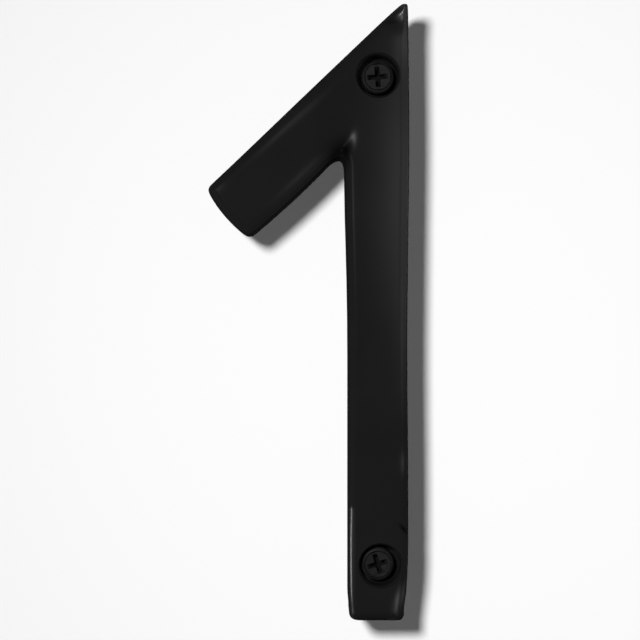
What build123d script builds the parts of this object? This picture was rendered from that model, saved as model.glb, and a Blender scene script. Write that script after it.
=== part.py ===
from build123d import *
from math import cos, radians, sin, tan
import os

# A floating house number, the figure one: a cast numeral, two wall screws and two spacers.
# Millimetres. Seen from the front, +X is right, +Y goes into the wall and +Z is up.
# The origin is on the wall, midway between the two screws.

# Numeral
HEIGHT = 127.0  # from the foot to the rounded tip of the peak
THICKNESS = 7.0
STEM_WIDTH = 12.1
STEM_OFFSET = 0.25  # middle of the stem, to the right of the screws
FLAG_WIDTH = 12.9
FLAG_LENGTH = 57.0  # along the upper edge, from the peak to the shoulder
FLAG_SLOPE = 43.6  # degrees above level
FLAG_BELLY = 0.5  # how far the underside swells from a straight line
FLAG_END_BELLY = 0.8  # how far the end of the flag swells from a straight line
TOE_REACH = 0.75  # how far the flag's lower corner reaches past a square end
FLARE_WIDTH = 1.25  # how far the stem spreads to the left on its way up to the notch
FLARE_LENGTH = 44.0
FOOT_TUCK = 0.8  # how far the right edge bends in by the time it meets the foot
FOOT_TUCK_LENGTH = 16.0

# Edges and corners of the numeral
FACE_ROUND = 2.0  # all round the front face
BACK_BEVEL = 0.4
PEAK_RADIUS = 0.8
SHOULDER_RADIUS = 1.2
TOE_RADIUS = 0.8
NOTCH_RADIUS = 1.0
FOOT_RADIUS = 1.8

# Screws
THREAD_DIAMETER = 3.5  # over the crests, from the wall to the point
SHANK_DIAMETER = 3.0  # plain, from the head to the wall
SCREW_LENGTH = 32.0  # under the head
POINT_LENGTH = 6.0
HEAD_DIAMETER = 6.8
HEAD_HEIGHT = 2.4
HEAD_ROUND = 0.7
RECESS_SPAN = 4.1  # from tip to tip of the cross
RECESS_SLOT = 0.9
RECESS_DEPTH = 1.9
RECESS_ROUND = 0.3  # inner corners of the cross
RECESS_TAPER = 26.5  # degrees from the axis
UPPER_TURN = 4.5  # degrees anticlockwise, as the upper screw stopped
LOWER_TURN = 17.5  # degrees anticlockwise, as the lower screw stopped

# Holes in the numeral
UPPER_HOLE_DROP = 15.4  # from the tip of the peak
LOWER_HOLE_RISE = 11.6  # from the foot
LOWER_HOLE_SHIFT = 0.5  # the lower hole is this far to the right of its screw
HEAD_DEPTH = 1.4  # from the face down to the top of a head
COUNTERBORE_CLEARANCE = 1.8
HOLE_CLEARANCE = 1.5
RIM_BEVEL = 0.4

# Spacers
SPACER_LENGTH = 8.5  # the gap behind the numeral
SPACER_DIAMETER = 9.0
SPACER_CLEARANCE = 0.7
SPACER_BEVEL = 0.4

# Levels along Y
WALL = 0.0
BACK = WALL - SPACER_LENGTH
FACE = BACK - THICKNESS
HEAD_TOP = FACE + HEAD_DEPTH
SEAT = HEAD_TOP + HEAD_HEIGHT

# Levels along Z
SCREW_Z = (HEIGHT - UPPER_HOLE_DROP - LOWER_HOLE_RISE) / 2
TIP_Z = SCREW_Z + UPPER_HOLE_DROP
FOOT_Z = -SCREW_Z - LOWER_HOLE_RISE

# Corners of the outline, before they are rounded
slope = radians(FLAG_SLOPE)
right = STEM_OFFSET + STEM_WIDTH / 2
left = STEM_OFFSET - STEM_WIDTH / 2
uphill = Vector(cos(slope), sin(slope))
downhill_side = Vector(sin(slope), -cos(slope))
peak_loss = PEAK_RADIUS * ((1 + sin(slope)) / cos(slope) - 1)
peak = Vector(right, TIP_Z + peak_loss)
shoulder = peak - uphill * FLAG_LENGTH
toe = shoulder + downhill_side * FLAG_WIDTH - uphill * TOE_REACH
notch = toe + uphill * ((left - FLARE_WIDTH - toe.X) / uphill.X)
flare_start = Vector(left, notch.Y - FLARE_LENGTH)
foot_left = Vector(left, FOOT_Z)
foot_right = Vector(right - FOOT_TUCK, FOOT_Z)
tuck_start = Vector(right, FOOT_Z + FOOT_TUCK_LENGTH)


def outline():
    """The numeral from the front, with sharp corners."""
    edges = [
        Line(peak, shoulder),
        SagittaArc(shoulder, toe, -FLAG_END_BELLY),
        SagittaArc(toe, notch, -FLAG_BELLY),
        TangentArc(flare_start, notch, tangent=(0, 1)),
        Line(flare_start, foot_left),
        Line(foot_left, foot_right),
        TangentArc(tuck_start, foot_right, tangent=(0, -1)),
        Line(tuck_start, peak),
    ]
    return make_face(Curve() + edges)


def rounded_outline():
    """The numeral from the front, with its outer corners rounded."""
    outer_corners = [
        (peak, PEAK_RADIUS),
        (shoulder, SHOULDER_RADIUS),
        (toe, TOE_RADIUS),
        (foot_left, FOOT_RADIUS),
        (foot_right, FOOT_RADIUS),
    ]
    face = outline()
    for corner, radius in outer_corners:
        face = fillet(face.vertices().sort_by_distance(corner)[0], radius)
    return face


def prism(face):
    """The numeral's full thickness of an outline."""
    return extrude(Plane.XZ.offset(-BACK) * face, THICKNESS)


def hole():
    """The space of one screw hole: a counterbore with a bevelled rim, and the way through."""
    through = (THREAD_DIAMETER + HOLE_CLEARANCE) / 2
    wide = (HEAD_DIAMETER + COUNTERBORE_CLEARANCE) / 2
    section = make_face(
        Polyline(
            (0, BACK),
            (through, BACK),
            (through, SEAT),
            (wide, SEAT),
            (wide, FACE + RIM_BEVEL),
            (wide + RIM_BEVEL, FACE),
            (0, FACE),
            close=True,
        )
    )
    return revolve(section, Axis.Y)


def numeral():
    """The casting: rounded front edges, softened corners and two screw holes."""
    body = prism(outline())
    body = fillet(body.faces().sort_by(Axis.Y)[0].edges(), FACE_ROUND)
    body = body & prism(rounded_outline())
    notch_middle = Vector(notch.X, (FACE + BACK) / 2, notch.Y)
    notch_edge = body.edges().filter_by(Axis.Y).sort_by_distance(notch_middle)[0]
    body = fillet(notch_edge, NOTCH_RADIUS)
    body = chamfer(body.faces().sort_by(Axis.Y)[-1].edges(), BACK_BEVEL)
    body -= Pos(0, 0, SCREW_Z) * hole()
    body -= Pos(LOWER_HOLE_SHIFT, 0, -SCREW_Z) * hole()
    return body


def recess(turn):
    """The cross recess in a head, narrowing as it goes down."""
    cross = Rectangle(RECESS_SPAN, RECESS_SLOT) + Rectangle(RECESS_SLOT, RECESS_SPAN)
    inner = cross.vertices().sort_by_distance(Vector(0, 0, 0))[:4]
    cross = Rot(0, 0, turn) * fillet(inner, RECESS_ROUND)
    slots = extrude(Plane.XZ.offset(-HEAD_TOP) * cross, -RECESS_DEPTH)
    wide = RECESS_SPAN / 2
    narrow = wide - RECESS_DEPTH * tan(radians(RECESS_TAPER))
    section = make_face(
        Polyline(
            (0, HEAD_TOP),
            (wide, HEAD_TOP),
            (narrow, HEAD_TOP + RECESS_DEPTH),
            (0, HEAD_TOP + RECESS_DEPTH),
            close=True,
        )
    )
    return slots & revolve(section, Axis.Y)


def screw(turn):
    """A pan-head wall screw, its head on the seat and its thread starting at the wall."""
    shank = SHANK_DIAMETER / 2
    thread = THREAD_DIAMETER / 2
    head = HEAD_DIAMETER / 2
    tip = SEAT + SCREW_LENGTH
    section = make_face(
        Curve()
        + [
            Line((0, HEAD_TOP), (head - HEAD_ROUND, HEAD_TOP)),
            TangentArc((head - HEAD_ROUND, HEAD_TOP), (head, HEAD_TOP + HEAD_ROUND), tangent=(1, 0)),
            Polyline(
                (head, HEAD_TOP + HEAD_ROUND),
                (head, SEAT),
                (shank, SEAT),
                (shank, WALL),
                (thread, WALL),
                (thread, tip - POINT_LENGTH),
                (0, tip),
                (0, HEAD_TOP),
            ),
        ]
    )
    return revolve(section, Axis.Y) - recess(turn)


def spacer():
    """A plain sleeve between the wall and the back of the numeral."""
    outer = SPACER_DIAMETER / 2
    bore = (THREAD_DIAMETER + SPACER_CLEARANCE) / 2
    section = make_face(
        Polyline(
            (bore, BACK),
            (outer - SPACER_BEVEL, BACK),
            (outer, BACK + SPACER_BEVEL),
            (outer, WALL - SPACER_BEVEL),
            (outer - SPACER_BEVEL, WALL),
            (bore, WALL),
            close=True,
        )
    )
    return revolve(section, Axis.Y)


upper = Pos(0, 0, SCREW_Z)
lower = Pos(0, 0, -SCREW_Z)
pieces = {
    "numeral": numeral(),
    "screws": Compound([upper * screw(UPPER_TURN), lower * screw(LOWER_TURN)]),
    "upper_spacer": upper * spacer(),
    "lower_spacer": lower * spacer(),
}

os.makedirs("parts", exist_ok=True)
for name, piece in pieces.items():
    export_step(piece, f"parts/{name}.step")
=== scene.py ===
from collections import namedtuple
from math import atan, cos, pi, radians, sin, tan

import bmesh
import bpy
import numpy as np
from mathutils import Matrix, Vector, noise
from mathutils.geometry import delaunay_2d_cdt


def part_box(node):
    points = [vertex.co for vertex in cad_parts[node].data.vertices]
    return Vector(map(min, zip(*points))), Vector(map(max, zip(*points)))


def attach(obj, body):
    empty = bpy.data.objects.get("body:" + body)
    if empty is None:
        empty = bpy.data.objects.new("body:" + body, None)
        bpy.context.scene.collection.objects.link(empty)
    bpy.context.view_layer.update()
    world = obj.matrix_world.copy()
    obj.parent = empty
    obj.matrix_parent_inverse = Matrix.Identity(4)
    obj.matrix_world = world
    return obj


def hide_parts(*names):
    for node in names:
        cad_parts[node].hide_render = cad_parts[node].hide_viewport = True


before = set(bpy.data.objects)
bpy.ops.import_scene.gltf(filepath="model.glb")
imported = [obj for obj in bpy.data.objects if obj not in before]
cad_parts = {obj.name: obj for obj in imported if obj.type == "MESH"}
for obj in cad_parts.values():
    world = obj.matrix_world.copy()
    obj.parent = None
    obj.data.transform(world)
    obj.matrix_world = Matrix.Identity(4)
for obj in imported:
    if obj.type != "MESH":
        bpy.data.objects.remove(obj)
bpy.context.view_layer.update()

# A floating house number on a white wall: the cast numeral, two wall screws and two spacers.
# Seen from the front, +X is right, +Y goes into the wall and +Z is up. A flat point is (x, z).
# The frame is in metres. Sizes below are in millimetres and are turned into metres when a mesh is made.
MM = 0.001


def node_box(node):
    """Lowest and highest corners of a node in millimetres."""
    low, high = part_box(node)
    return low / MM, high / MM


numeral_low, numeral_high = node_box("numeral")
screws_low, screws_high = node_box("screws")
spacer_low, spacer_high = node_box("upper_spacer")

# Levels and places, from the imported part
FACE = numeral_low.y
BACK = numeral_high.y
WALL = spacer_high.y
HEAD_TOP = screws_low.y
SCREW_TIP = screws_high.y
SCREW_Z = (spacer_low.z + spacer_high.z) / 2
RIGHT_X = numeral_high.x
TIP_Z = numeral_high.z
FOOT_Z = numeral_low.z

# Numeral, as the solid has it
FACE_ROUND = 2.0
BACK_BEVEL = 0.4
COUNTERBORE_RADIUS = 4.3
THROUGH_RADIUS = 2.5
HEAD_HEIGHT = 2.4
SEAT = HEAD_TOP + HEAD_HEIGHT
HOLE_SHIFT = 0.5  # the lower hole is this far to the right of its screw
HOLE_CENTRES = [(0.0, SCREW_Z), (HOLE_SHIFT, -SCREW_Z)]

# How finely the casting is divided
OUTLINE_STEP = 0.25
OUTLINE_DEPTH = 0.3  # below the rounded edge, where the solid's outline is read
ROUND_ROWS = 12  # of points over the rounded edge
QUAD_ROWS = 4  # of these, next to the walls, are joined by quads
WALL_ROWS = 8
FACE_STEP = 0.7
FLAT_ROW = 0.4  # a row this far past the rounded edge
FLAT_START = 0.75  # the grid on the flat starts this far past the rounded edge
LEAST_GAP = 0.02  # between rows
RING_POINTS = 96  # round a hole
RIM_RINGS = (0.15, 0.3, 0.45, 0.65, 0.9)  # how far outside the rim of a hole
HOLE_MARGIN = 1.0  # no grid this close to a hole
DENT_STEP = 0.2
DENT_REACH = 2.0  # how far the fine grid of a dent goes, in half lengths
DENT_SHARE = 0.03  # the fine grid stops where a dent has less of its depth than this
PLAIN_SHARE = 0.02  # and the plain grid goes on where it has less than this
DENT_MARGIN = 0.5  # no fine grid this close to the edge of the face
ROWS_STAY = 0.42  # rows this close to it stay
BACK_STEP = 3.0
BACK_ROW = 0.4  # a row this far inside the bevel
BACK_RING = 0.6  # a ring this far outside a hole
BACK_RING_POINTS = 48
CHUNK = 2000  # points handled at a time
SMOOTH_PASSES = 2  # over an outline, to take its facets away
MERGE = 1e-7  # points closer than this are one
WELD = 1e-6  # corners of the solid closer than this are one, in metres
INSIDE_ONLY = 1  # the kind of triangulation that stays inside its loops

# Screw holes, down from the rim
RIM_ROUND = 0.25
RIM_TURNS = (30, 60, 90)  # degrees, one for each row of points
UPPER_ROW = 1.2  # below the face
LOWER_ROW = 0.9  # above the seat
SEAT_ROUND = 0.5  # between the wall and the floor of a counterbore
SEAT_TURNS = (0, 30, 60, 90)
THROUGH_BEVEL = 0.15
BACK_HOLE_BEVEL = 0.2

# Hand finishing: how far the outline stands out from the solid's, and over what reach along the edge
RIGHT_WAY = (1, 0)
RIGHT_SWELL = 0.22
RIGHT_SWELL_Z = 38.0
RIGHT_SWELL_REACH = 15.0
RIGHT_HOLLOW = -0.20
RIGHT_HOLLOW_Z = -6.0
RIGHT_HOLLOW_REACH = 18.0
LEFT_WAY = (-1, 0)
LEFT_SWELL = 0.32
LEFT_PLAIN_Z = 34.0  # no swell here
LEFT_PLAIN_REACH = 9.0
UNDER_WAY = (0.69, -0.72)
UNDER_SWELL = 0.25
FLAG_END_WAY = (-0.72, -0.69)
FLAG_END_SWELL = 0.12
TIP_FILED = -0.22
TIP_FILED_REACH = 3.0
FOOT_FILED = -0.22
FOOT_FILED_Z = FOOT_Z + 2.2
FOOT_FILED_REACH = 1.8
SIDE_FOCUS = 4  # how strictly a swell of the stem keeps to the sides that face its way
FLAG_FOCUS = 8  # and a swell of the flag
NOTCH_EASE = 4.0  # along the edge each way from the inner corner below the flag, which a file has widened
NOTCH_SPAN = 4  # points over which the way of the edge is read there

# The casting's slow wave
WAVE_HEIGHT = 0.02
WAVE_LENGTH = 11.0
WAVE_SLICE = 3.0  # level of the noise that gives the wave

# Places where the rounded edge of the face is tighter, or wider
EdgeChange = namedtuple("EdgeChange", "way z reach amount")
LEFT_EDGE_TIGHT = EdgeChange(way=LEFT_WAY, z=-47.0, reach=14.0, amount=-0.75)
FOOT_WIDE = EdgeChange(way=RIGHT_WAY, z=-57.0, reach=5.0, amount=1.3)
TIP_TIGHT = EdgeChange(way=RIGHT_WAY, z=65.0, reach=4.0, amount=-1.4)
EDGE_CHANGES = [LEFT_EDGE_TIGHT, FOOT_WIDE, TIP_TIGHT]
EDGE_FOCUS = 2  # how strictly a change keeps to its side

# Marks on the face: where, half length, half width, degrees of lean, and an amount
Spot = namedtuple("Spot", "x z length width lean amount")

# Dents, with their depths
TIP_DENT = Spot(x=4.3, z=61.3, length=2.2, width=2.0, lean=0, amount=0.55)
NOTCH_SCOOP = Spot(x=-7.8, z=35.3, length=2.4, width=1.8, lean=45, amount=0.7)
NOTCH_GROOVE = Spot(x=-6.3, z=36.9, length=2.4, width=1.2, lean=64, amount=0.18)
EDGE_NICK = Spot(x=5.4, z=-42.8, length=1.4, width=0.35, lean=-52, amount=0.7)
DENTS = [TIP_DENT, NOTCH_SCOOP, NOTCH_GROOVE, EDGE_NICK]

# Polished places, with their gloss
STEM_SHEEN = Spot(x=8.0, z=28.0, length=27.0, width=6.5, lean=90, amount=0.65)
PEAK_SHEEN = Spot(x=5.2, z=57.5, length=5.5, width=1.8, lean=90, amount=0.6)
LOW_SHEEN = Spot(x=5.4, z=-3.0, length=13.0, width=1.5, lean=90, amount=0.2)
TIP_SHINE = Spot(x=5.3, z=63.0, length=1.7, width=1.6, lean=0, amount=0.22)
NOTCH_SHINE = Spot(x=-5.0, z=37.4, length=1.7, width=0.9, lean=80, amount=0.08)
FOOT_SHINE = Spot(x=4.0, z=-57.2, length=2.6, width=0.8, lean=74, amount=1.0)
RIGHT_SHINE = Spot(x=4.9, z=-29.0, length=2.0, width=0.6, lean=90, amount=0.3)
LEFT_LINE = Spot(x=-4.8, z=25.0, length=12.0, width=0.7, lean=90, amount=0.006)
FLAG_STREAK = Spot(x=-16.2, z=41.5, length=8.0, width=0.45, lean=42, amount=0.13)
UNDER_STREAK = Spot(x=-14.6, z=30.3, length=6.0, width=0.7, lean=43, amount=0.11)
CORNER_SHINE = Spot(x=-33.4, z=27.5, length=1.5, width=1.0, lean=0, amount=0.04)
SHINES = [
    STEM_SHEEN,
    PEAK_SHEEN,
    LOW_SHEEN,
    TIP_SHINE,
    NOTCH_SHINE,
    FOOT_SHINE,
    RIGHT_SHINE,
    LEFT_LINE,
    FLAG_STREAK,
    UNDER_STREAK,
    CORNER_SHINE,
]
LEFT_EDGE_SHINE = Spot(x=-5.3, z=-46.0, length=13.0, width=0.42, lean=90, amount=1.0)
LEFT_EDGE_TOP = -37.9  # where that shine stops short
LEFT_EDGE_FADE = 0.8
FACE_GLOSS = 0.004  # all over the face
EDGE_BARE = 0.2  # no gloss this close to the edge of the face
EDGE_FADE = 0.4  # and less over this width beyond

# Painted shade, with a share of the dark paint: round the inner corner below the flag, at the dent near the
# tip, in the nick, and darker towards the bottom of the foot
NOTCH_SHADE = Spot(x=-8.2, z=34.5, length=3.2, width=1.7, lean=43, amount=0.85)
NOTCH_SIDE_SHADE = Spot(x=-6.4, z=33.6, length=2.4, width=0.9, lean=90, amount=0.6)
TIP_SHADE = Spot(x=3.6, z=61.1, length=2.2, width=0.5, lean=8, amount=0.6)
NICK_SHADE = Spot(x=5.4, z=-42.8, length=1.3, width=0.3, lean=-52, amount=0.8)
FOOT_SHADE = Spot(x=0.0, z=-62.0, length=9.0, width=2.0, lean=0, amount=0.5)
SHADES = [NOTCH_SHADE, NOTCH_SIDE_SHADE, TIP_SHADE, NICK_SHADE, FOOT_SHADE]
# Painted shade on the small bevel behind the walls
BEVEL_SHADE = 0.6

# Lighter grey paint, with a share of it: painted fill light on the sides and in the holes away from the key
# light, and an even grey on the back. These places are rougher too
PAINTED_FILL_WAY = (0.83, -0.55)  # sides that face this way, away from the key light, get the most painted fill
PAINTED_FILL_MEAN = 0.55
PAINTED_FILL_SWING = 0.45
WALL_GREY_AND_FILL = 0.08
EDGE_PAINTED_FILL_POWER = 1.5  # how the painted fill of a wall fades over the rounded edge
ROUGH_STEEPNESS = 0.5  # the paint is rougher where the rounded edge is steeper than this share
HOLE_PAINTED_FILL_WAY = (0.985, -0.17)
HOLE_PAINTED_FILL = 0.9
HOLE_FOCUS = 2  # how strictly the painted fill keeps to the sides of a hole that face its way
HOLE_PAINTED_FILL_DEPTH = 1.2  # below the rim of a hole, where the painted fill is full

# Screws
SCREW_POINTS = 128  # round a screw
HEAD_RADIUS = 3.4
HEAD_ROUND = 0.7
HEAD_TURNS = (15, 30, 45, 60, 75, 90)
HEAD_FLAT = HEAD_RADIUS - HEAD_ROUND
HEAD_RING_START = 0.3
HEAD_RING_STEP = 0.25
HEAD_RINGS = np.arange(HEAD_RING_START, HEAD_FLAT, HEAD_RING_STEP)
HEAD_RING_POINTS = 64
HEAD_MARGIN = 0.05  # no points this close to the edge of the flat
SCREW_BEVEL = 0.1
SHANK_RADIUS = 1.5
THREAD_RADIUS = 1.75
CORE_RADIUS = 1.2
TIP_RADIUS = 0.12
THREAD_PITCH = 1.4
THREAD_FLANK = 0.28  # half the foot of a thread, in pitches
THREAD_ROWS = 260
CREST_HOLD = 1.3  # a higher value keeps the crests full further down the point
POINT_LENGTH = 6.0
RECESS_SPAN = 4.1
RECESS_SLOT = 0.9
RECESS_DEPTH = 1.9
RECESS_ROUND = 0.3  # inner corners of the cross
RECESS_TAPER = radians(26.5)  # from the axis
RECESS_LIP = 0.06  # how far outside the cross its walls begin
RECESS_WALL = 0.12
RECESS_SLOPE = 0.8  # of the walls at their top
RECESS_EXTRA = 0.1  # how far past the tips of the cross its cone reaches
RECESS_FIELD = 2.4  # half of the fine grid over the cross
RECESS_STEP = 0.05
RECESS_NEAR = 0.5  # the fine grid keeps this close to the edge of the cross
UPPER_TURN = radians(4.5)  # anticlockwise, as the upper screw stopped
LOWER_TURN = radians(17.5)  # anticlockwise, as the lower screw stopped


# Meshes

class Shell:
    """The points, faces and paint of a piece while it is built."""

    def __init__(self):
        self.points = []
        self.faces = []
        self.paint = []

    def add_row(self, row, new_points, flip=False):
        """Join a closed row of points to a new one by quads, and give the new row."""
        start = len(self.points)
        self.points += new_points
        count = len(row)
        for i in range(count):
            after = (i + 1) % count
            quad = (row[i], row[after], start + after, start + i)
            self.faces.append(quad[::-1] if flip else quad)
        return list(range(start, start + count))

    def flat_row(self, row):
        """The points of a row, seen from the front."""
        return np.array([(self.points[i][0], self.points[i][2]) for i in row])


def make_object(name, shell, material):
    """A smooth-shaded piece from a shell in millimetres."""
    mesh = bpy.data.meshes.new(name)
    mesh.from_pydata([Vector(point) * MM for point in shell.points], [], shell.faces)
    mesh.validate()
    mesh.update()
    mesh.shade_smooth()
    piece = bpy.data.objects.new(name, mesh)
    bpy.context.scene.collection.objects.link(piece)
    mesh.materials.append(material)
    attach(piece, "root")
    return piece


def set_values(piece, name, values):
    """Keep one number for each point of a piece, for its material."""
    layer = piece.data.attributes.new(name, "FLOAT", "POINT")
    layer.data.foreach_set("value", np.asarray(values, np.float32))


def cut_outline(node, level):
    """The longest closed outline of a node where the plane at a level of Y cuts it, as flat points."""
    cut = bmesh.new()
    cut.from_mesh(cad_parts[node].data)
    bmesh.ops.remove_doubles(cut, verts=cut.verts, dist=WELD)
    everything = cut.verts[:] + cut.edges[:] + cut.faces[:]
    found = bmesh.ops.bisect_plane(cut, geom=everything, plane_co=(0, level * MM, 0), plane_no=(0, 1, 0))
    neighbours = {}
    for item in found["geom_cut"]:
        if isinstance(item, bmesh.types.BMEdge):
            first, second = item.verts
            neighbours.setdefault(first, []).append(second)
            neighbours.setdefault(second, []).append(first)
    loops = []
    while neighbours:
        here = next(iter(neighbours))
        loop = [here]
        while True:
            onward = [vertex for vertex in neighbours.pop(here) if vertex in neighbours]
            if not onward:
                break
            here = onward[0]
            loop.append(here)
        loops.append(np.array([(vertex.co.x / MM, vertex.co.z / MM) for vertex in loop]))
    cut.free()
    return max(loops, key=loop_length)


def loop_length(loop):
    """Length round a closed loop."""
    return np.linalg.norm(np.roll(loop, -1, axis=0) - loop, axis=1).sum()


def loop_area(loop):
    """Area inside a closed loop, positive when it runs anticlockwise."""
    after = np.roll(loop, -1, axis=0)
    return 0.5 * (loop[:, 0] * after[:, 1] - after[:, 0] * loop[:, 1]).sum()


def even_loop(loop, step):
    """The same loop, anticlockwise, with points a step apart and its facets smoothed away."""
    if loop_area(loop) < 0:
        loop = loop[::-1]
    closed = np.vstack([loop, loop[:1]])
    along = np.concatenate([[0], np.cumsum(np.linalg.norm(np.diff(closed, axis=0), axis=1))])
    count = int(round(along[-1] / step))
    places = np.arange(count) * along[-1] / count
    even = np.column_stack([np.interp(places, along, closed[:, axis]) for axis in (0, 1)])
    for _ in range(SMOOTH_PASSES):
        even = 0.5 * even + 0.25 * (np.roll(even, 1, axis=0) + np.roll(even, -1, axis=0))
    return even


def outward(loop):
    """Unit normals that point out of an anticlockwise loop."""
    along = np.roll(loop, -1, axis=0) - np.roll(loop, 1, axis=0)
    along /= np.linalg.norm(along, axis=1)[:, None]
    return np.column_stack([along[:, 1], -along[:, 0]])


def facing(normals, way, focus):
    """How far each normal faces a way, from 0 to 1, more strictly with a higher focus."""
    return np.clip(normals @ np.array(way), 0, 1) ** focus


def distance_to(points, loop):
    """Distance from each point to a closed loop."""
    step = np.roll(loop, -1, axis=0) - loop
    square = (step ** 2).sum(1)
    result = np.empty(len(points))
    for first in range(0, len(points), CHUNK):
        part = points[first:first + CHUNK]
        offset = part[:, None, :] - loop[None, :, :]
        share = np.clip((offset * step[None]).sum(2) / square[None], 0, 1)
        gap = offset - share[:, :, None] * step[None]
        result[first:first + CHUNK] = np.sqrt((gap ** 2).sum(2).min(1))
    return result


def inside(points, loop):
    """Which points lie inside a closed loop."""
    x0, z0 = loop[:, 0], loop[:, 1]
    x1, z1 = np.roll(x0, -1), np.roll(z0, -1)
    result = np.empty(len(points), bool)
    for first in range(0, len(points), CHUNK):
        part = points[first:first + CHUNK]
        x, z = part[:, 0:1], part[:, 1:2]
        crosses = (z0 <= z) != (z1 <= z)
        with np.errstate(divide="ignore", invalid="ignore"):
            at = x0 + (z - z0) * (x1 - x0) / (z1 - z0)
        result[first:first + CHUNK] = (crosses & (x < at)).sum(1) % 2 == 1
    return result


def inset(loop, depth):
    """Points this deep inside a loop, without those that come nearer to another stretch of it."""
    points = loop - outward(loop) * depth
    return points[distance_to(points, loop) > depth - LEAST_GAP]


def clear_of(points, centres, radius):
    """The points that lie outside circles of a radius."""
    for centre in centres:
        points = points[np.linalg.norm(points - centre, axis=1) > radius]
    return points


def circle(radius, count, centre=(0, 0)):
    """An anticlockwise ring of points."""
    turn = np.arange(count) * 2 * pi / count
    return np.column_stack([centre[0] + radius * np.cos(turn), centre[1] + radius * np.sin(turn)])


def square_grid(low, high, step):
    """Points of a square grid between two corners."""
    across = np.arange(low[0], high[0], step)
    up = np.arange(low[1], high[1], step)
    return np.stack(np.meshgrid(across, up), -1).reshape(-1, 2)


def triangles(outer, holes, others):
    """Triangles between an outer loop and its holes, through other points.

    Gives the points, the faces, and for each point its place in the list of all points put in, loops first.
    """
    loops = [outer] + holes
    points = np.vstack(loops + [others])
    edges = []
    start = 0
    for loop in loops:
        count = len(loop)
        edges += [(start + i, start + (i + 1) % count) for i in range(count)]
        start += count
    corners = [Vector(point) for point in points]
    flat, _, faces, sources, _, _ = delaunay_2d_cdt(corners, edges, [], INSIDE_ONLY, MERGE)
    flat = np.array([tuple(point) for point in flat])
    middles = np.array([flat[list(face)].mean(0) for face in faces])
    keep = inside(middles, outer)
    for hole in holes:
        keep &= ~inside(middles, hole)
    order = [source[0] if source else -1 for source in sources]
    return flat, [tuple(face) for face, kept in zip(faces, keep) if kept], order


def places_of(order):
    """Where each point that was put in has gone."""
    return {source: index for index, source in enumerate(order) if source >= 0}


# Numeral

def bell(distance, reach):
    """A smooth hump: 1 at no distance, fading out beyond its reach."""
    return np.exp(-(distance / reach) ** 2)


def spot_share(points, spot):
    """How much each point belongs to a soft oval spot, from 0 to 1."""
    turn = radians(spot.lean)
    x = points[:, 0] - spot.x
    z = points[:, 1] - spot.z
    along = x * cos(turn) + z * sin(turn)
    across = z * cos(turn) - x * sin(turn)
    return bell(along, spot.length) * bell(across, spot.width)


def spot_sum(points, spots):
    """What some spots give each point together."""
    return sum(spot.amount * spot_share(points, spot) for spot in spots)


def finished_outline():
    """The solid's outline below the rounded edge, with its hand-finished swells and filed corners."""
    outline = even_loop(cut_outline("numeral", FACE + FACE_ROUND + OUTLINE_DEPTH), OUTLINE_STEP)
    normals = outward(outline)
    z = outline[:, 1]
    faces_right = facing(normals, RIGHT_WAY, SIDE_FOCUS)
    faces_left = facing(normals, LEFT_WAY, SIDE_FOCUS)
    from_tip = np.linalg.norm(outline - (RIGHT_X, TIP_Z), axis=1)
    offset = faces_right * RIGHT_SWELL * bell(z - RIGHT_SWELL_Z, RIGHT_SWELL_REACH)
    offset += faces_right * RIGHT_HOLLOW * bell(z - RIGHT_HOLLOW_Z, RIGHT_HOLLOW_REACH)
    offset += faces_left * LEFT_SWELL * (1 - bell(z - LEFT_PLAIN_Z, LEFT_PLAIN_REACH))
    offset += facing(normals, FLAG_END_WAY, FLAG_FOCUS) * FLAG_END_SWELL
    offset += facing(normals, UNDER_WAY, FLAG_FOCUS) * UNDER_SWELL
    offset += TIP_FILED * bell(from_tip, TIP_FILED_REACH)
    offset += (faces_left + faces_right) * FOOT_FILED * bell(z - FOOT_FILED_Z, FOOT_FILED_REACH)
    return ease_notch(even_loop(outline + normals * offset[:, None], OUTLINE_STEP))


def ease_notch(outline):
    """The outline with its tight inner corner widened into a longer curve."""
    normals = outward(outline)
    before = np.roll(normals, NOTCH_SPAN, axis=0)
    after = np.roll(normals, -NOTCH_SPAN, axis=0)
    middle = np.argmin(before[:, 0] * after[:, 1] - before[:, 1] * after[:, 0])
    count = round(NOTCH_EASE / OUTLINE_STEP)
    places = (middle + np.arange(-count, count + 1)) % len(outline)
    start = outline[places[0]]
    end = outline[places[-1]]
    way_in = outline[places[NOTCH_SPAN]] - start
    way_out = end - outline[places[-1 - NOTCH_SPAN]]
    share_in, _ = np.linalg.solve(np.column_stack([way_in, way_out]), end - start)
    corner = start + share_in * way_in
    share = np.linspace(0, 1, len(places))[:, None]
    eased = outline.copy()
    eased[places] = (1 - share) ** 2 * start + 2 * share * (1 - share) * corner + share ** 2 * end
    return even_loop(eased, OUTLINE_STEP)


def round_depth(row):
    """How far a row of points over the rounded edge lies inside the outline."""
    return FACE_ROUND * (1 - cos(radians(90 / ROUND_ROWS * row)))


def face_points(outline, rim):
    """Points of the face: rows over the rounded edge, a grid on the flat and rings round the holes."""
    rows = [inset(outline, round_depth(row)) for row in range(QUAD_ROWS + 1, ROUND_ROWS + 1)]
    rows.append(inset(outline, FACE_ROUND + FLAT_ROW))
    grid = square_grid(outline.min(0), outline.max(0), FACE_STEP)
    grid = grid[inside(grid, outline)]
    rows.append(grid[distance_to(grid, outline) > FACE_ROUND + FLAT_START])
    points = np.vstack(rows)
    for dent in DENTS:
        points = refine(points, outline, dent)
    points = clear_of(points, HOLE_CENTRES, rim + HOLE_MARGIN)
    for extra in RIM_RINGS:
        points = np.vstack([points] + [circle(rim + extra, RING_POINTS, centre) for centre in HOLE_CENTRES])
    return points[distance_to(points, outline) > round_depth(QUAD_ROWS) + LEAST_GAP]


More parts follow.
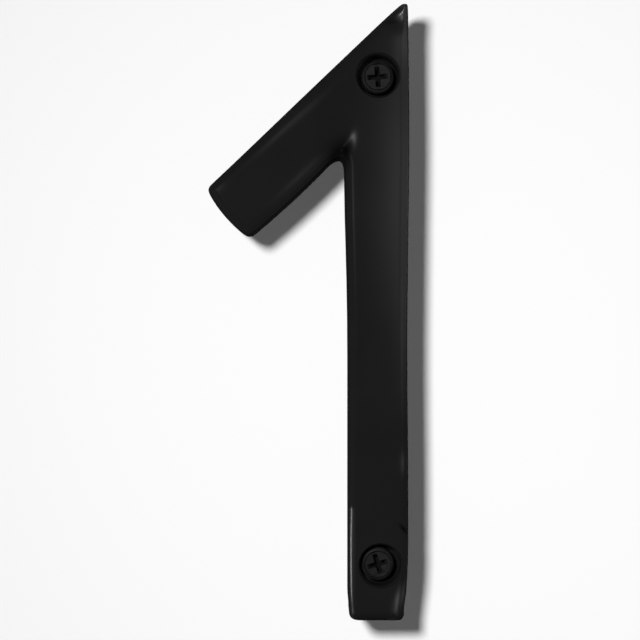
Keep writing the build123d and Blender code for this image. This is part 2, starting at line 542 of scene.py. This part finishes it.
def refine(points, outline, dent):
    """A finer grid over a dent, except close to the edge of the face, where the rows are fine already."""
    reach = DENT_REACH * max(dent.length, dent.width)
    middle = np.array((dent.x, dent.z))
    grid = square_grid(middle - reach, middle + reach, DENT_STEP)
    grid = grid[inside(grid, outline)]
    grid = grid[spot_share(grid, dent) > DENT_SHARE]
    grid = grid[distance_to(grid, outline) > DENT_MARGIN]
    kept = (spot_share(points, dent) < PLAIN_SHARE) | (distance_to(points, outline) < ROWS_STAY)
    return np.vstack([points[kept], grid])


def back_points(bevel):
    """Points of the flat back: a row beside its bevel, a wide grid and rings round the holes."""
    grid = square_grid(bevel.min(0), bevel.max(0), BACK_STEP)
    grid = grid[inside(grid, bevel)]
    grid = grid[distance_to(grid, bevel) > BACK_STEP / 2]
    grid = clear_of(grid, HOLE_CENTRES, THROUGH_RADIUS + HOLE_MARGIN)
    rings = [circle(THROUGH_RADIUS + BACK_RING, BACK_RING_POINTS, centre) for centre in HOLE_CENTRES]
    return np.vstack([inset(bevel, BACK_ROW), grid] + rings)


def face_level(flat, outline, nearest):
    """Level of the front at each point, with its wave and dents, and how far inside the edge it lies."""
    normals = outward(outline)[nearest]
    edge = np.full(len(flat), FACE_ROUND)
    for change in EDGE_CHANGES:
        along = bell(outline[nearest][:, 1] - change.z, change.reach)
        edge += change.amount * facing(normals, change.way, EDGE_FOCUS) * along
    distance = distance_to(flat, outline)
    level = FACE + edge - np.sqrt(np.maximum(edge ** 2 - np.clip(edge - distance, 0, edge) ** 2, 0))
    deep = np.clip(distance, 0, FACE_ROUND)
    wave = np.array([noise.noise(Vector((x, WAVE_SLICE, z)) / WAVE_LENGTH) for x, z in flat])
    level += deep / FACE_ROUND * WAVE_HEIGHT * wave
    return level + spot_sum(flat, DENTS), deep


def painted_fill_share(normals):
    """How much lighter grey paint sides with these normals get: an even share, and painted fill light on
    the sides away from the key.
    """
    return np.clip(PAINTED_FILL_MEAN + PAINTED_FILL_SWING * normals @ np.array(PAINTED_FILL_WAY), 0, 1)


PAINT_LAYERS = ("gloss", "grey_and_painted_fill", "shade", "rough")


def paint_rows(count, gloss=0.0, grey_and_painted_fill=0.0, shade=0.0, rough=1.0):
    """The paint of some points, with a column for each layer."""
    return np.column_stack([np.broadcast_to(layer, count) for layer in (gloss, grey_and_painted_fill, shade, rough)])


def face_paint(flat, deep, normals):
    """The paint of the face: polished places, painted shade, and painted fill light that grows towards the
    walls on the sides away from the key.
    """
    steep = 1 - deep / FACE_ROUND
    left_edge = spot_sum(flat, [LEFT_EDGE_SHINE])
    left_edge *= np.clip((LEFT_EDGE_TOP - flat[:, 1]) / LEFT_EDGE_FADE, 0, 1)
    gloss = FACE_GLOSS + spot_sum(flat, SHINES) + left_edge
    # The greyer layer here is painted fill light and the shade layer is painted shade.
    return paint_rows(
        len(flat),
        gloss=gloss * np.clip((deep - EDGE_BARE) / EDGE_FADE, 0, 1),
        grey_and_painted_fill=WALL_GREY_AND_FILL * steep ** EDGE_PAINTED_FILL_POWER * painted_fill_share(normals),
        shade=spot_sum(flat, SHADES),
        rough=np.clip((steep - ROUGH_STEEPNESS) / (1 - ROUGH_STEEPNESS), 0, 1),
    )


def add_front(shell, outline):
    """The face and its rounded edge. Gives the row of points at the walls and the row round each rim."""
    normals = outward(outline)
    rim = COUNTERBORE_RADIUS + RIM_ROUND
    rings = [circle(rim, RING_POINTS, centre) for centre in HOLE_CENTRES]
    edge_rows = [outline - normals * round_depth(row) for row in range(QUAD_ROWS, -1, -1)]
    flat, faces, order = triangles(edge_rows[0], rings, face_points(outline, rim))
    flat = np.vstack([flat] + edge_rows[1:])
    nearest = np.array([((outline - point) ** 2).sum(1).argmin() for point in flat])
    level, deep = face_level(flat, outline, nearest)
    solid = [(x, y, z) for (x, z), y in zip(flat, level)]
    shell.points += solid[:len(order)]
    shell.faces += faces
    shell.paint.append(face_paint(flat, deep, normals[nearest]))
    places = places_of(order)
    edge = [places[i] for i in range(len(outline))]
    for start in range(len(order), len(solid), len(outline)):
        edge = shell.add_row(edge, solid[start:start + len(outline)])
    rims = []
    for hole in range(len(rings)):
        start = len(outline) + hole * RING_POINTS
        rims.append([places[start + i] for i in range(RING_POINTS)])
    return edge, rims


def add_walls(shell, edge, outline):
    """The side walls and the small bevel behind them. Gives the row of points at the back."""
    normals = outward(outline)
    top = np.array([shell.points[i][1] for i in edge])
    for share in np.linspace(0, 1, WALL_ROWS + 1)[1:]:
        level = top + (BACK - BACK_BEVEL - top) * share
        edge = shell.add_row(edge, [(x, y, z) for (x, z), y in zip(outline, level)])
        # Painted fill light on the walls, strongest on the sides that face away from the key.
        shell.paint.append(paint_rows(len(edge), grey_and_painted_fill=WALL_GREY_AND_FILL * painted_fill_share(normals)))
    edge = shell.add_row(edge, [(x, BACK, z) for x, z in outline - normals * BACK_BEVEL])
    # Painted shade on the back bevel.
    shell.paint.append(paint_rows(len(edge), shade=BEVEL_SHADE))
    return edge


def hole_profile():
    """Radius and level down a screw hole, from below its rim to the back of the numeral."""
    rows = []
    for turn in RIM_TURNS:
        angle = radians(turn)
        radius = COUNTERBORE_RADIUS + RIM_ROUND * (1 - sin(angle))
        rows.append((radius, FACE + RIM_ROUND * (1 - cos(angle))))
    rows += [(COUNTERBORE_RADIUS, FACE + UPPER_ROW), (COUNTERBORE_RADIUS, SEAT - LOWER_ROW)]
    for turn in SEAT_TURNS:
        angle = radians(turn)
        radius = COUNTERBORE_RADIUS - SEAT_ROUND * (1 - cos(angle))
        rows.append((radius, SEAT - SEAT_ROUND * (1 - sin(angle))))
    rows += [(THROUGH_RADIUS + THROUGH_BEVEL, SEAT), (THROUGH_RADIUS, SEAT + THROUGH_BEVEL)]
    rows += [(THROUGH_RADIUS, BACK - BACK_HOLE_BEVEL), (THROUGH_RADIUS + BACK_HOLE_BEVEL, BACK)]
    return rows


def add_hole(shell, rim, centre):
    """A counterbored hole, down from its rim. Gives the row of points at the back."""
    row = rim
    for radius, depth in hole_profile():
        ring = circle(radius, len(rim), centre)
        row = shell.add_row(row, [(x, depth, z) for x, z in ring], flip=True)
        # Painted fill light in the hole, growing with depth and strongest on its side away from the key.
        depth_share = np.clip((depth - FACE - RIM_ROUND) / HOLE_PAINTED_FILL_DEPTH, 0, 1)
        inward = (np.array(centre) - ring) / radius
        lighter_grey = HOLE_PAINTED_FILL * depth_share * facing(inward, HOLE_PAINTED_FILL_WAY, HOLE_FOCUS)
        shell.paint.append(paint_rows(len(ring), grey_and_painted_fill=lighter_grey))
    return row


def add_back(shell, edge, hole_rows):
    """The flat back, between the bevel and the holes."""
    known = edge + [index for row in hole_rows for index in row]
    bevel = shell.flat_row(edge)
    rings = [shell.flat_row(row) for row in hole_rows]
    flat, faces, order = triangles(bevel, rings, back_points(bevel))
    places = []
    new_points = []
    for (x, z), source in zip(flat, order):
        if 0 <= source < len(known):
            places.append(known[source])
        else:
            places.append(len(shell.points) + len(new_points))
            new_points.append((x, BACK, z))
    shell.points += new_points
    shell.paint.append(paint_rows(len(new_points), grey_and_painted_fill=WALL_GREY_AND_FILL))
    shell.faces += [tuple(places[i] for i in reversed(face)) for face in faces]


def build_numeral(material):
    """The casting: a face with a rounded edge, walls, screw holes and a flat back."""
    outline = finished_outline()
    shell = Shell()
    edge, rims = add_front(shell, outline)
    edge = add_walls(shell, edge, outline)
    hole_rows = [add_hole(shell, rim, centre) for rim, centre in zip(rims, HOLE_CENTRES)]
    add_back(shell, edge, hole_rows)
    piece = make_object("cast_numeral", shell, material)
    for layer, values in zip(PAINT_LAYERS, np.vstack(shell.paint).T):
        set_values(piece, layer, values)
    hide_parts("numeral")
    return piece


# Screws

def cross_distance(points, turn):
    """Signed distance to the cross recess, negative inside it."""
    x = points[:, 0] * cos(turn) + points[:, 1] * sin(turn)
    z = -points[:, 0] * sin(turn) + points[:, 1] * cos(turn)
    arms = []
    for along, across in ((x, z), (z, x)):
        over = np.column_stack([np.abs(along) - RECESS_SPAN / 2, np.abs(across) - RECESS_SLOT / 2])
        out = np.linalg.norm(np.maximum(over, 0), axis=1)
        arms.append(out + np.minimum(over.max(1), 0))
    first, second = arms
    mix = np.maximum(RECESS_ROUND - np.abs(first - second), 0) / RECESS_ROUND
    return np.minimum(first, second) - mix ** 2 * RECESS_ROUND / 4


def head_points(turn):
    """Points of the flat of a head: a fine grid along the edge of its cross, and rings elsewhere."""
    fine = square_grid((-RECESS_FIELD, -RECESS_FIELD), (RECESS_FIELD, RECESS_FIELD), RECESS_STEP)
    fine = fine @ np.array([[cos(turn), sin(turn)], [-sin(turn), cos(turn)]])
    fine = fine[np.abs(cross_distance(fine, turn)) < RECESS_NEAR]
    coarse = np.vstack([circle(radius, HEAD_RING_POINTS) for radius in HEAD_RINGS])
    coarse = coarse[np.abs(cross_distance(coarse, turn)) >= RECESS_NEAR]
    points = np.vstack([fine, coarse])
    return points[np.linalg.norm(points, axis=1) < HEAD_FLAT - HEAD_MARGIN]


def recess_depth(flat, turn):
    """How deep the cross recess is at each point of a head."""
    wall = np.clip(RECESS_LIP - cross_distance(flat, turn), 0, None) / RECESS_WALL
    from_axis = np.linalg.norm(flat, axis=1)
    cone = np.clip(RECESS_SPAN / 2 + RECESS_EXTRA - from_axis, 0, None) / tan(RECESS_TAPER)
    return np.minimum(np.minimum(wall * RECESS_SLOPE + wall ** 2, cone), RECESS_DEPTH)


def screw_profile():
    """Radius and level down a screw from the flat of its head to the wall."""
    rows = []
    for turn in HEAD_TURNS:
        angle = radians(turn)
        radius = HEAD_RADIUS - HEAD_ROUND * (1 - sin(angle))
        rows.append((radius, HEAD_TOP + HEAD_ROUND * (1 - cos(angle))))
    rows += [(HEAD_RADIUS, SEAT - SCREW_BEVEL), (HEAD_RADIUS - SCREW_BEVEL, SEAT)]
    rows += [(SHANK_RADIUS + SCREW_BEVEL, SEAT), (SHANK_RADIUS, SEAT + SCREW_BEVEL)]
    rows += [(SHANK_RADIUS, (SEAT + WALL) / 2), (SHANK_RADIUS, WALL)]
    return rows


def thread_radius(depth, angle):
    """How far the thread reaches from the axis at a level and an angle round it."""
    taper = min(1.0, (SCREW_TIP - depth) / POINT_LENGTH)
    run_in = min(1.0, (depth - WALL) / THREAD_PITCH)
    core = SHANK_RADIUS + (CORE_RADIUS - SHANK_RADIUS) * run_in
    phase = (depth / THREAD_PITCH - angle / (2 * pi)) % 1.0
    height = max(0.0, 1 - abs(phase - 0.5) / THREAD_FLANK)
    crest = (THREAD_RADIUS - core) * run_in
    return TIP_RADIUS + (core - TIP_RADIUS) * taper + crest * min(1.0, taper * CREST_HOLD) * height


def build_screw(name, centre_z, turn, material):
    """A pan-head screw with a cross recess, a plain shank and a thread that starts at the wall."""
    shell = Shell()
    flat, faces, order = triangles(circle(HEAD_FLAT, SCREW_POINTS), [], head_points(turn))
    sunk = recess_depth(flat, turn)
    shell.points += [(x, HEAD_TOP + depth, centre_z + z) for (x, z), depth in zip(flat, sunk)]
    shell.faces += faces
    places = places_of(order)
    row = [places[i] for i in range(SCREW_POINTS)]
    for radius, depth in screw_profile():
        row = shell.add_row(row, [(x, depth, centre_z + z) for x, z in circle(radius, SCREW_POINTS)])
    angles = [2 * pi * i / SCREW_POINTS for i in range(SCREW_POINTS)]
    for step in range(1, THREAD_ROWS + 1):
        depth = WALL + (SCREW_TIP - WALL) * step / THREAD_ROWS
        ring = []
        for angle in angles:
            reach = thread_radius(depth, angle)
            ring.append((reach * cos(angle), depth, centre_z + reach * sin(angle)))
        row = shell.add_row(row, ring)
    tip = len(shell.points)
    shell.points.append((0, SCREW_TIP, centre_z))
    shell.faces += [(row[i], row[(i + 1) % SCREW_POINTS], tip) for i in range(SCREW_POINTS)]
    piece = make_object(name, shell, material)
    set_values(piece, "sunk", list(np.clip(sunk, 0, 1)) + [0.0] * (len(shell.points) - len(sunk)))
    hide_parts("screws")
    return piece


# Materials

NOISE_LOW = 0.3  # a noise lies mostly between these two
NOISE_HIGH = 0.7
SMOOTH_PAINT = ((0.0076, 0.0076, 0.0078), (0.0088, 0.0088, 0.009))
# Lighter grey paint: painted fill light on walls, edges and holes, and an even grey on the back
GREY_AND_FILL_PAINT = ((0.05, 0.05, 0.051), (0.06, 0.06, 0.061))
# Dark paint for painted shade
SHADE_PAINT = ((0.0012, 0.0012, 0.0012), (0.0018, 0.0018, 0.0018))
PAINT_ROUGHNESS = (0.54, 0.62)
DRY_ROUGHNESS = (0.0, 0.4)  # added on the walls and in the holes
BARE_STEEL = ((0.007, 0.007, 0.0072), (0.011, 0.011, 0.0113))
# Darker steel for painted shade down in the recess
RECESS_SHADE_STEEL = ((0.004, 0.004, 0.0041), (0.006, 0.006, 0.0061))
STEEL_ROUGHNESS = (0.42, 0.56)
CAKED_ROUGHNESS = (0.0, 0.4)  # added down in the recess
CAKED_DEPTH = 0.5  # where it is all added
PLASTIC = ((0.016, 0.016, 0.0165), (0.024, 0.024, 0.0245))
PLASTIC_ROUGHNESS = (0.55, 0.7)
NO_SHINE = 0.0
STEEL_SHINE = 0.06
COAT_ROUGHNESS = 0.3
COAT_IOR = 1.5
PEEL_HEIGHT = 0.00001  # heights of bumps are in metres
PAINT_GRAIN_HEIGHT = 0.000003
STEEL_GRAIN_HEIGHT = 0.000006
PLASTIC_GRAIN_HEIGHT = 0.00001
FIRST_COLOUR = 6  # sockets of a colour mix
SECOND_COLOUR = 7
MIXED_COLOUR = 2


def new_material(name):
    """A material with its node tree and its shader."""
    material = bpy.data.materials.new(name)
    material.use_nodes = True
    tree = material.node_tree
    tree.nodes.clear()
    output = tree.nodes.new("ShaderNodeOutputMaterial")
    shader = tree.nodes.new("ShaderNodeBsdfPrincipled")
    tree.links.new(shader.outputs["BSDF"], output.inputs["Surface"])
    return material, tree, shader


def add_noise(tree, scale, detail):
    """A noise texture in object coordinates, which are metres."""
    place = tree.nodes.new("ShaderNodeTexCoord")
    texture = tree.nodes.new("ShaderNodeTexNoise")
    texture.inputs["Scale"].default_value = scale
    texture.inputs["Detail"].default_value = detail
    tree.links.new(place.outputs["Object"], texture.inputs["Vector"])
    return texture.outputs["Fac"]


def map_range(tree, value, to_range, from_range=(NOISE_LOW, NOISE_HIGH)):
    """A value moved from one range to another."""
    spread = tree.nodes.new("ShaderNodeMapRange")
    spread.inputs["From Min"].default_value, spread.inputs["From Max"].default_value = from_range
    spread.inputs["To Min"].default_value, spread.inputs["To Max"].default_value = to_range
    tree.links.new(value, spread.inputs["Value"])
    return spread.outputs["Result"]


def calculate(tree, operation, first, second):
    """Two outputs of nodes, put together by a Math node."""
    step = tree.nodes.new("ShaderNodeMath")
    step.operation = operation
    tree.links.new(first, step.inputs[0])
    tree.links.new(second, step.inputs[1])
    return step.outputs["Value"]


def ramp(tree, value, colours):
    """A noise as a colour between a dark one and a light one."""
    blend = tree.nodes.new("ShaderNodeValToRGB")
    for element, position, colour in zip(blend.color_ramp.elements, (NOISE_LOW, NOISE_HIGH), colours):
        element.position = position
        element.color = (*colour, 1)
    tree.links.new(value, blend.inputs["Fac"])
    return blend.outputs["Color"]


def mix_colours(tree, share, first, second):
    """The first colour where the share is 0 and the second where it is 1."""
    mix = tree.nodes.new("ShaderNodeMix")
    mix.data_type = "RGBA"
    tree.links.new(share, mix.inputs["Factor"])
    tree.links.new(first, mix.inputs[FIRST_COLOUR])
    tree.links.new(second, mix.inputs[SECOND_COLOUR])
    return mix.outputs[MIXED_COLOUR]


def bumps(tree, shader, layers):
    """Bump the surface by several heights, each with its distance in metres."""
    before = None
    for height, distance in layers:
        bump = tree.nodes.new("ShaderNodeBump")
        bump.inputs["Distance"].default_value = distance
        tree.links.new(height, bump.inputs["Height"])
        if before:
            tree.links.new(before, bump.inputs["Normal"])
        before = bump.outputs["Normal"]
    tree.links.new(before, shader.inputs["Normal"])


def point_values(tree, name):
    """The numbers kept at a piece's points."""
    values = tree.nodes.new("ShaderNodeAttribute")
    values.attribute_name = name
    return values.outputs["Fac"]


def black_paint():
    """Satin black paint on a casting: orange peel, faint clouding, a few polished places, painted fill
    light on the sides away from the key and painted shade in hollows.
    """
    material, tree, shader = new_material("black_paint")
    cloud = add_noise(tree, scale=90, detail=4)
    peel = add_noise(tree, scale=900, detail=2)
    grain = add_noise(tree, scale=4000, detail=3)
    smooth = ramp(tree, cloud, SMOOTH_PAINT)
    lighter_grey = ramp(tree, cloud, GREY_AND_FILL_PAINT)
    shade_paint = ramp(tree, cloud, SHADE_PAINT)
    # Painted fill light, then painted shade, mixed into the base colour.
    paint = mix_colours(tree, point_values(tree, "grey_and_painted_fill"), smooth, lighter_grey)
    paint = mix_colours(tree, point_values(tree, "shade"), paint, shade_paint)
    tree.links.new(paint, shader.inputs["Base Color"])
    smooth_roughness = map_range(tree, cloud, PAINT_ROUGHNESS)
    dry_roughness = map_range(tree, point_values(tree, "rough"), DRY_ROUGHNESS, from_range=(0, 1))
    tree.links.new(calculate(tree, "ADD", smooth_roughness, dry_roughness), shader.inputs["Roughness"])
    shader.inputs["Specular IOR Level"].default_value = NO_SHINE
    tree.links.new(point_values(tree, "gloss"), shader.inputs["Coat Weight"])
    shader.inputs["Coat Roughness"].default_value = COAT_ROUGHNESS
    shader.inputs["Coat IOR"].default_value = COAT_IOR
    bumps(tree, shader, [(peel, PEEL_HEIGHT), (grain, PAINT_GRAIN_HEIGHT)])
    return material


def blackened_steel():
    """Dark phosphate on steel, a little mottled, with painted shade and a rougher finish down in the
    recess.
    """
    material, tree, shader = new_material("blackened_steel")
    cloud = add_noise(tree, scale=900, detail=4)
    grain = add_noise(tree, scale=6000, detail=3)
    bare = ramp(tree, cloud, BARE_STEEL)
    recess_shade = ramp(tree, cloud, RECESS_SHADE_STEEL)
    sunk = point_values(tree, "sunk")
    # Painted shade down in the recess.
    tree.links.new(mix_colours(tree, sunk, bare, recess_shade), shader.inputs["Base Color"])
    bare_roughness = map_range(tree, cloud, STEEL_ROUGHNESS)
    caked_roughness = map_range(tree, sunk, CAKED_ROUGHNESS, from_range=(0, CAKED_DEPTH))
    tree.links.new(calculate(tree, "ADD", bare_roughness, caked_roughness), shader.inputs["Roughness"])
    shader.inputs["Specular IOR Level"].default_value = STEEL_SHINE
    bumps(tree, shader, [(grain, STEEL_GRAIN_HEIGHT)])
    return material


def black_plastic():
    """Moulded matte plastic with a fine spark-eroded grain."""
    material, tree, shader = new_material("black_plastic")
    cloud = add_noise(tree, scale=300, detail=3)
    grain = add_noise(tree, scale=5000, detail=2)
    tree.links.new(ramp(tree, cloud, PLASTIC), shader.inputs["Base Color"])
    tree.links.new(map_range(tree, cloud, PLASTIC_ROUGHNESS), shader.inputs["Roughness"])
    bumps(tree, shader, [(grain, PLASTIC_GRAIN_HEIGHT)])
    return material


# Stage, light and camera

# Each lamp has a place, a width and a light level in watts per square metre at the numeral
Lamp = namedtuple("Lamp", "name place size level")
KEY = Lamp("key", (-87, -246, 55), 44, 2.9)  # close by, so its shadow spreads
FILL = Lamp("fill", (-12, -640, 10), 300, 0.24)
SHEEN = Lamp("sheen", (520, -370, 90), 700, 0.75)
LOW_GLINT = Lamp("low_glint", (390, -350, -180), 360, 0.36)
LEFT_GLINT = Lamp("left_glint", (-350, -202, -130), 70, 1.2)
FRONT = Lamp("front", (130, -620, 30), 600, 0.3)
BEHIND = Lamp("back", (0, 700, 60), 400, 3.0)
PIECE_LAMPS = [SHEEN, LOW_GLINT, LEFT_GLINT, FRONT, BEHIND]
ROOM_LEVEL = 0.04
BACKDROP_LEVEL = 0.9  # of the pale backdrop that shows past the wall and in views from behind
BACKDROP_RISE = 0.2  # sine of the angle behind the wall over which the backdrop comes in
WHITE = (1, 1, 1, 1)
WALL_COLOUR = (0.98, 0.98, 0.98, 1)
WALL_ROUGHNESS = 0.9
WALL_HALF = 1500
WALL_CREVICE = 0.05  # between the spacers and the wall
CAMERA_X = -11.84
CAMERA_Z = 0.1
CAMERA_DISTANCE = 225.0  # from the face of the numeral
CAMERA_START = 10.0  # nothing nearer to the camera shows
VIEW_WIDTH = 130.5  # of the image, at the face


def build_wall():
    """A white wall that shows from the front only, so that the part can be seen from behind too."""
    mesh = bpy.data.meshes.new("wall")
    level = WALL + WALL_CREVICE
    corners = [(-1, -1), (1, -1), (1, 1), (-1, 1)]
    points = [Vector((x * WALL_HALF, level, z * WALL_HALF)) * MM for x, z in corners]
    mesh.from_pydata(points, [], [(0, 1, 2, 3)])
    wall = bpy.data.objects.new("wall", mesh)
    bpy.context.scene.collection.objects.link(wall)
    material, tree, shader = new_material("white_wall")
    shader.inputs["Base Color"].default_value = WALL_COLOUR
    shader.inputs["Roughness"].default_value = WALL_ROUGHNESS
    shader.inputs["Specular IOR Level"].default_value = NO_SHINE
    clear = tree.nodes.new("ShaderNodeBsdfTransparent")
    side = tree.nodes.new("ShaderNodeNewGeometry")
    mix = tree.nodes.new("ShaderNodeMixShader")
    tree.links.new(side.outputs["Backfacing"], mix.inputs["Fac"])
    tree.links.new(shader.outputs["BSDF"], mix.inputs[1])
    tree.links.new(clear.outputs["BSDF"], mix.inputs[2])
    tree.links.new(mix.outputs["Shader"], tree.get_output_node("ALL").inputs["Surface"])
    mesh.materials.append(material)
    return wall


def add_lamp(lamp):
    """A round lamp turned to the numeral."""
    place = Vector(lamp.place)
    target = Vector((0, FACE, 0))
    gap = (target - place).length * MM
    data = bpy.data.lights.new(lamp.name, "AREA")
    data.shape = "DISK"
    data.size = lamp.size * MM
    data.energy = lamp.level * pi * gap ** 2
    item = bpy.data.objects.new(lamp.name, data)
    item.location = place * MM
    item.rotation_euler = (target - place).to_track_quat("-Z", "Y").to_euler()
    bpy.context.scene.collection.objects.link(item)
    return item


def collect(name, objects):
    """A collection of some objects."""
    group = bpy.data.collections.new(name)
    for item in objects:
        group.objects.link(item)
    return group


def light_only(item, objects):
    """Let a lamp light some objects only, with their own shadows only."""
    item.light_linking.receiver_collection = collect(item.name + "_lit", objects)
    item.light_linking.blocker_collection = collect(item.name + "_blockers", objects)


def even_out(item):
    """Make a close lamp stronger with distance, so that it lights the wall evenly."""
    gap = (Vector((0, FACE, 0)) * MM - item.location).length
    item.data.use_nodes = True
    tree = item.data.node_tree
    falloff = tree.nodes.new("ShaderNodeLightFalloff")
    falloff.inputs["Strength"].default_value = 1 / gap ** 3
    path = tree.nodes.new("ShaderNodeLightPath")
    strength = calculate(tree, "MULTIPLY", falloff.outputs["Constant"], path.outputs["Ray Length"])
    tree.links.new(strength, tree.nodes["Emission"].inputs["Strength"])


def build_light(pieces, wall):
    """A close key light from the left, a soft fill on the wall, and lamps for the part's shine and back."""
    even_out(add_lamp(KEY))
    light_only(add_lamp(FILL), [wall])
    for lamp in PIECE_LAMPS:
        light_only(add_lamp(lamp), pieces)


def build_room():
    """A dim room, with a pale backdrop that the camera sees and that shines on the back of the part."""
    world = bpy.data.worlds.new("room")
    world.use_nodes = True
    tree = world.node_tree
    background = tree.nodes["Background"]
    background.inputs["Color"].default_value = WHITE
    path = tree.nodes.new("ShaderNodeLightPath")
    direction = tree.nodes.new("ShaderNodeTexCoord")
    along = tree.nodes.new("ShaderNodeSeparateXYZ")
    tree.links.new(direction.outputs["Generated"], along.inputs["Vector"])
    behind = map_range(tree, along.outputs["Y"], (0, 1), from_range=(0, BACKDROP_RISE))
    shine = calculate(tree, "MAXIMUM", path.outputs["Is Glossy Ray"], path.outputs["Is Transmission Ray"])
    shine = calculate(tree, "MULTIPLY", shine, behind)
    shown = calculate(tree, "MAXIMUM", path.outputs["Is Camera Ray"], shine)
    level = map_range(tree, shown, (ROOM_LEVEL, BACKDROP_LEVEL), from_range=(0, 1))
    tree.links.new(level, background.inputs["Strength"])
    bpy.context.scene.world = world


def build_camera():
    """The photograph's view, straight at the wall."""
    data = bpy.data.cameras.new("camera")
    data.angle = 2 * atan(VIEW_WIDTH / 2 / CAMERA_DISTANCE)
    data.clip_start = CAMERA_START * MM
    camera = bpy.data.objects.new("camera", data)
    camera.location = Vector((CAMERA_X, FACE - CAMERA_DISTANCE, CAMERA_Z)) * MM
    camera.rotation_euler = (pi / 2, 0, 0)
    bpy.context.scene.collection.objects.link(camera)
    bpy.context.scene.camera = camera


steel = blackened_steel()
plastic = black_plastic()
spacers = [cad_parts[node] for node in ("upper_spacer", "lower_spacer")]
for spacer in spacers:
    spacer.data.materials.clear()
    spacer.data.materials.append(plastic)
numeral = build_numeral(black_paint())
upper_screw = build_screw("upper_screw", SCREW_Z, UPPER_TURN, steel)
lower_screw = build_screw("lower_screw", -SCREW_Z, LOWER_TURN, steel)
wall = build_wall()
build_light([numeral, upper_screw, lower_screw] + spacers, wall)
build_room()
build_camera()
bpy.context.scene.view_settings.view_transform = "Standard"
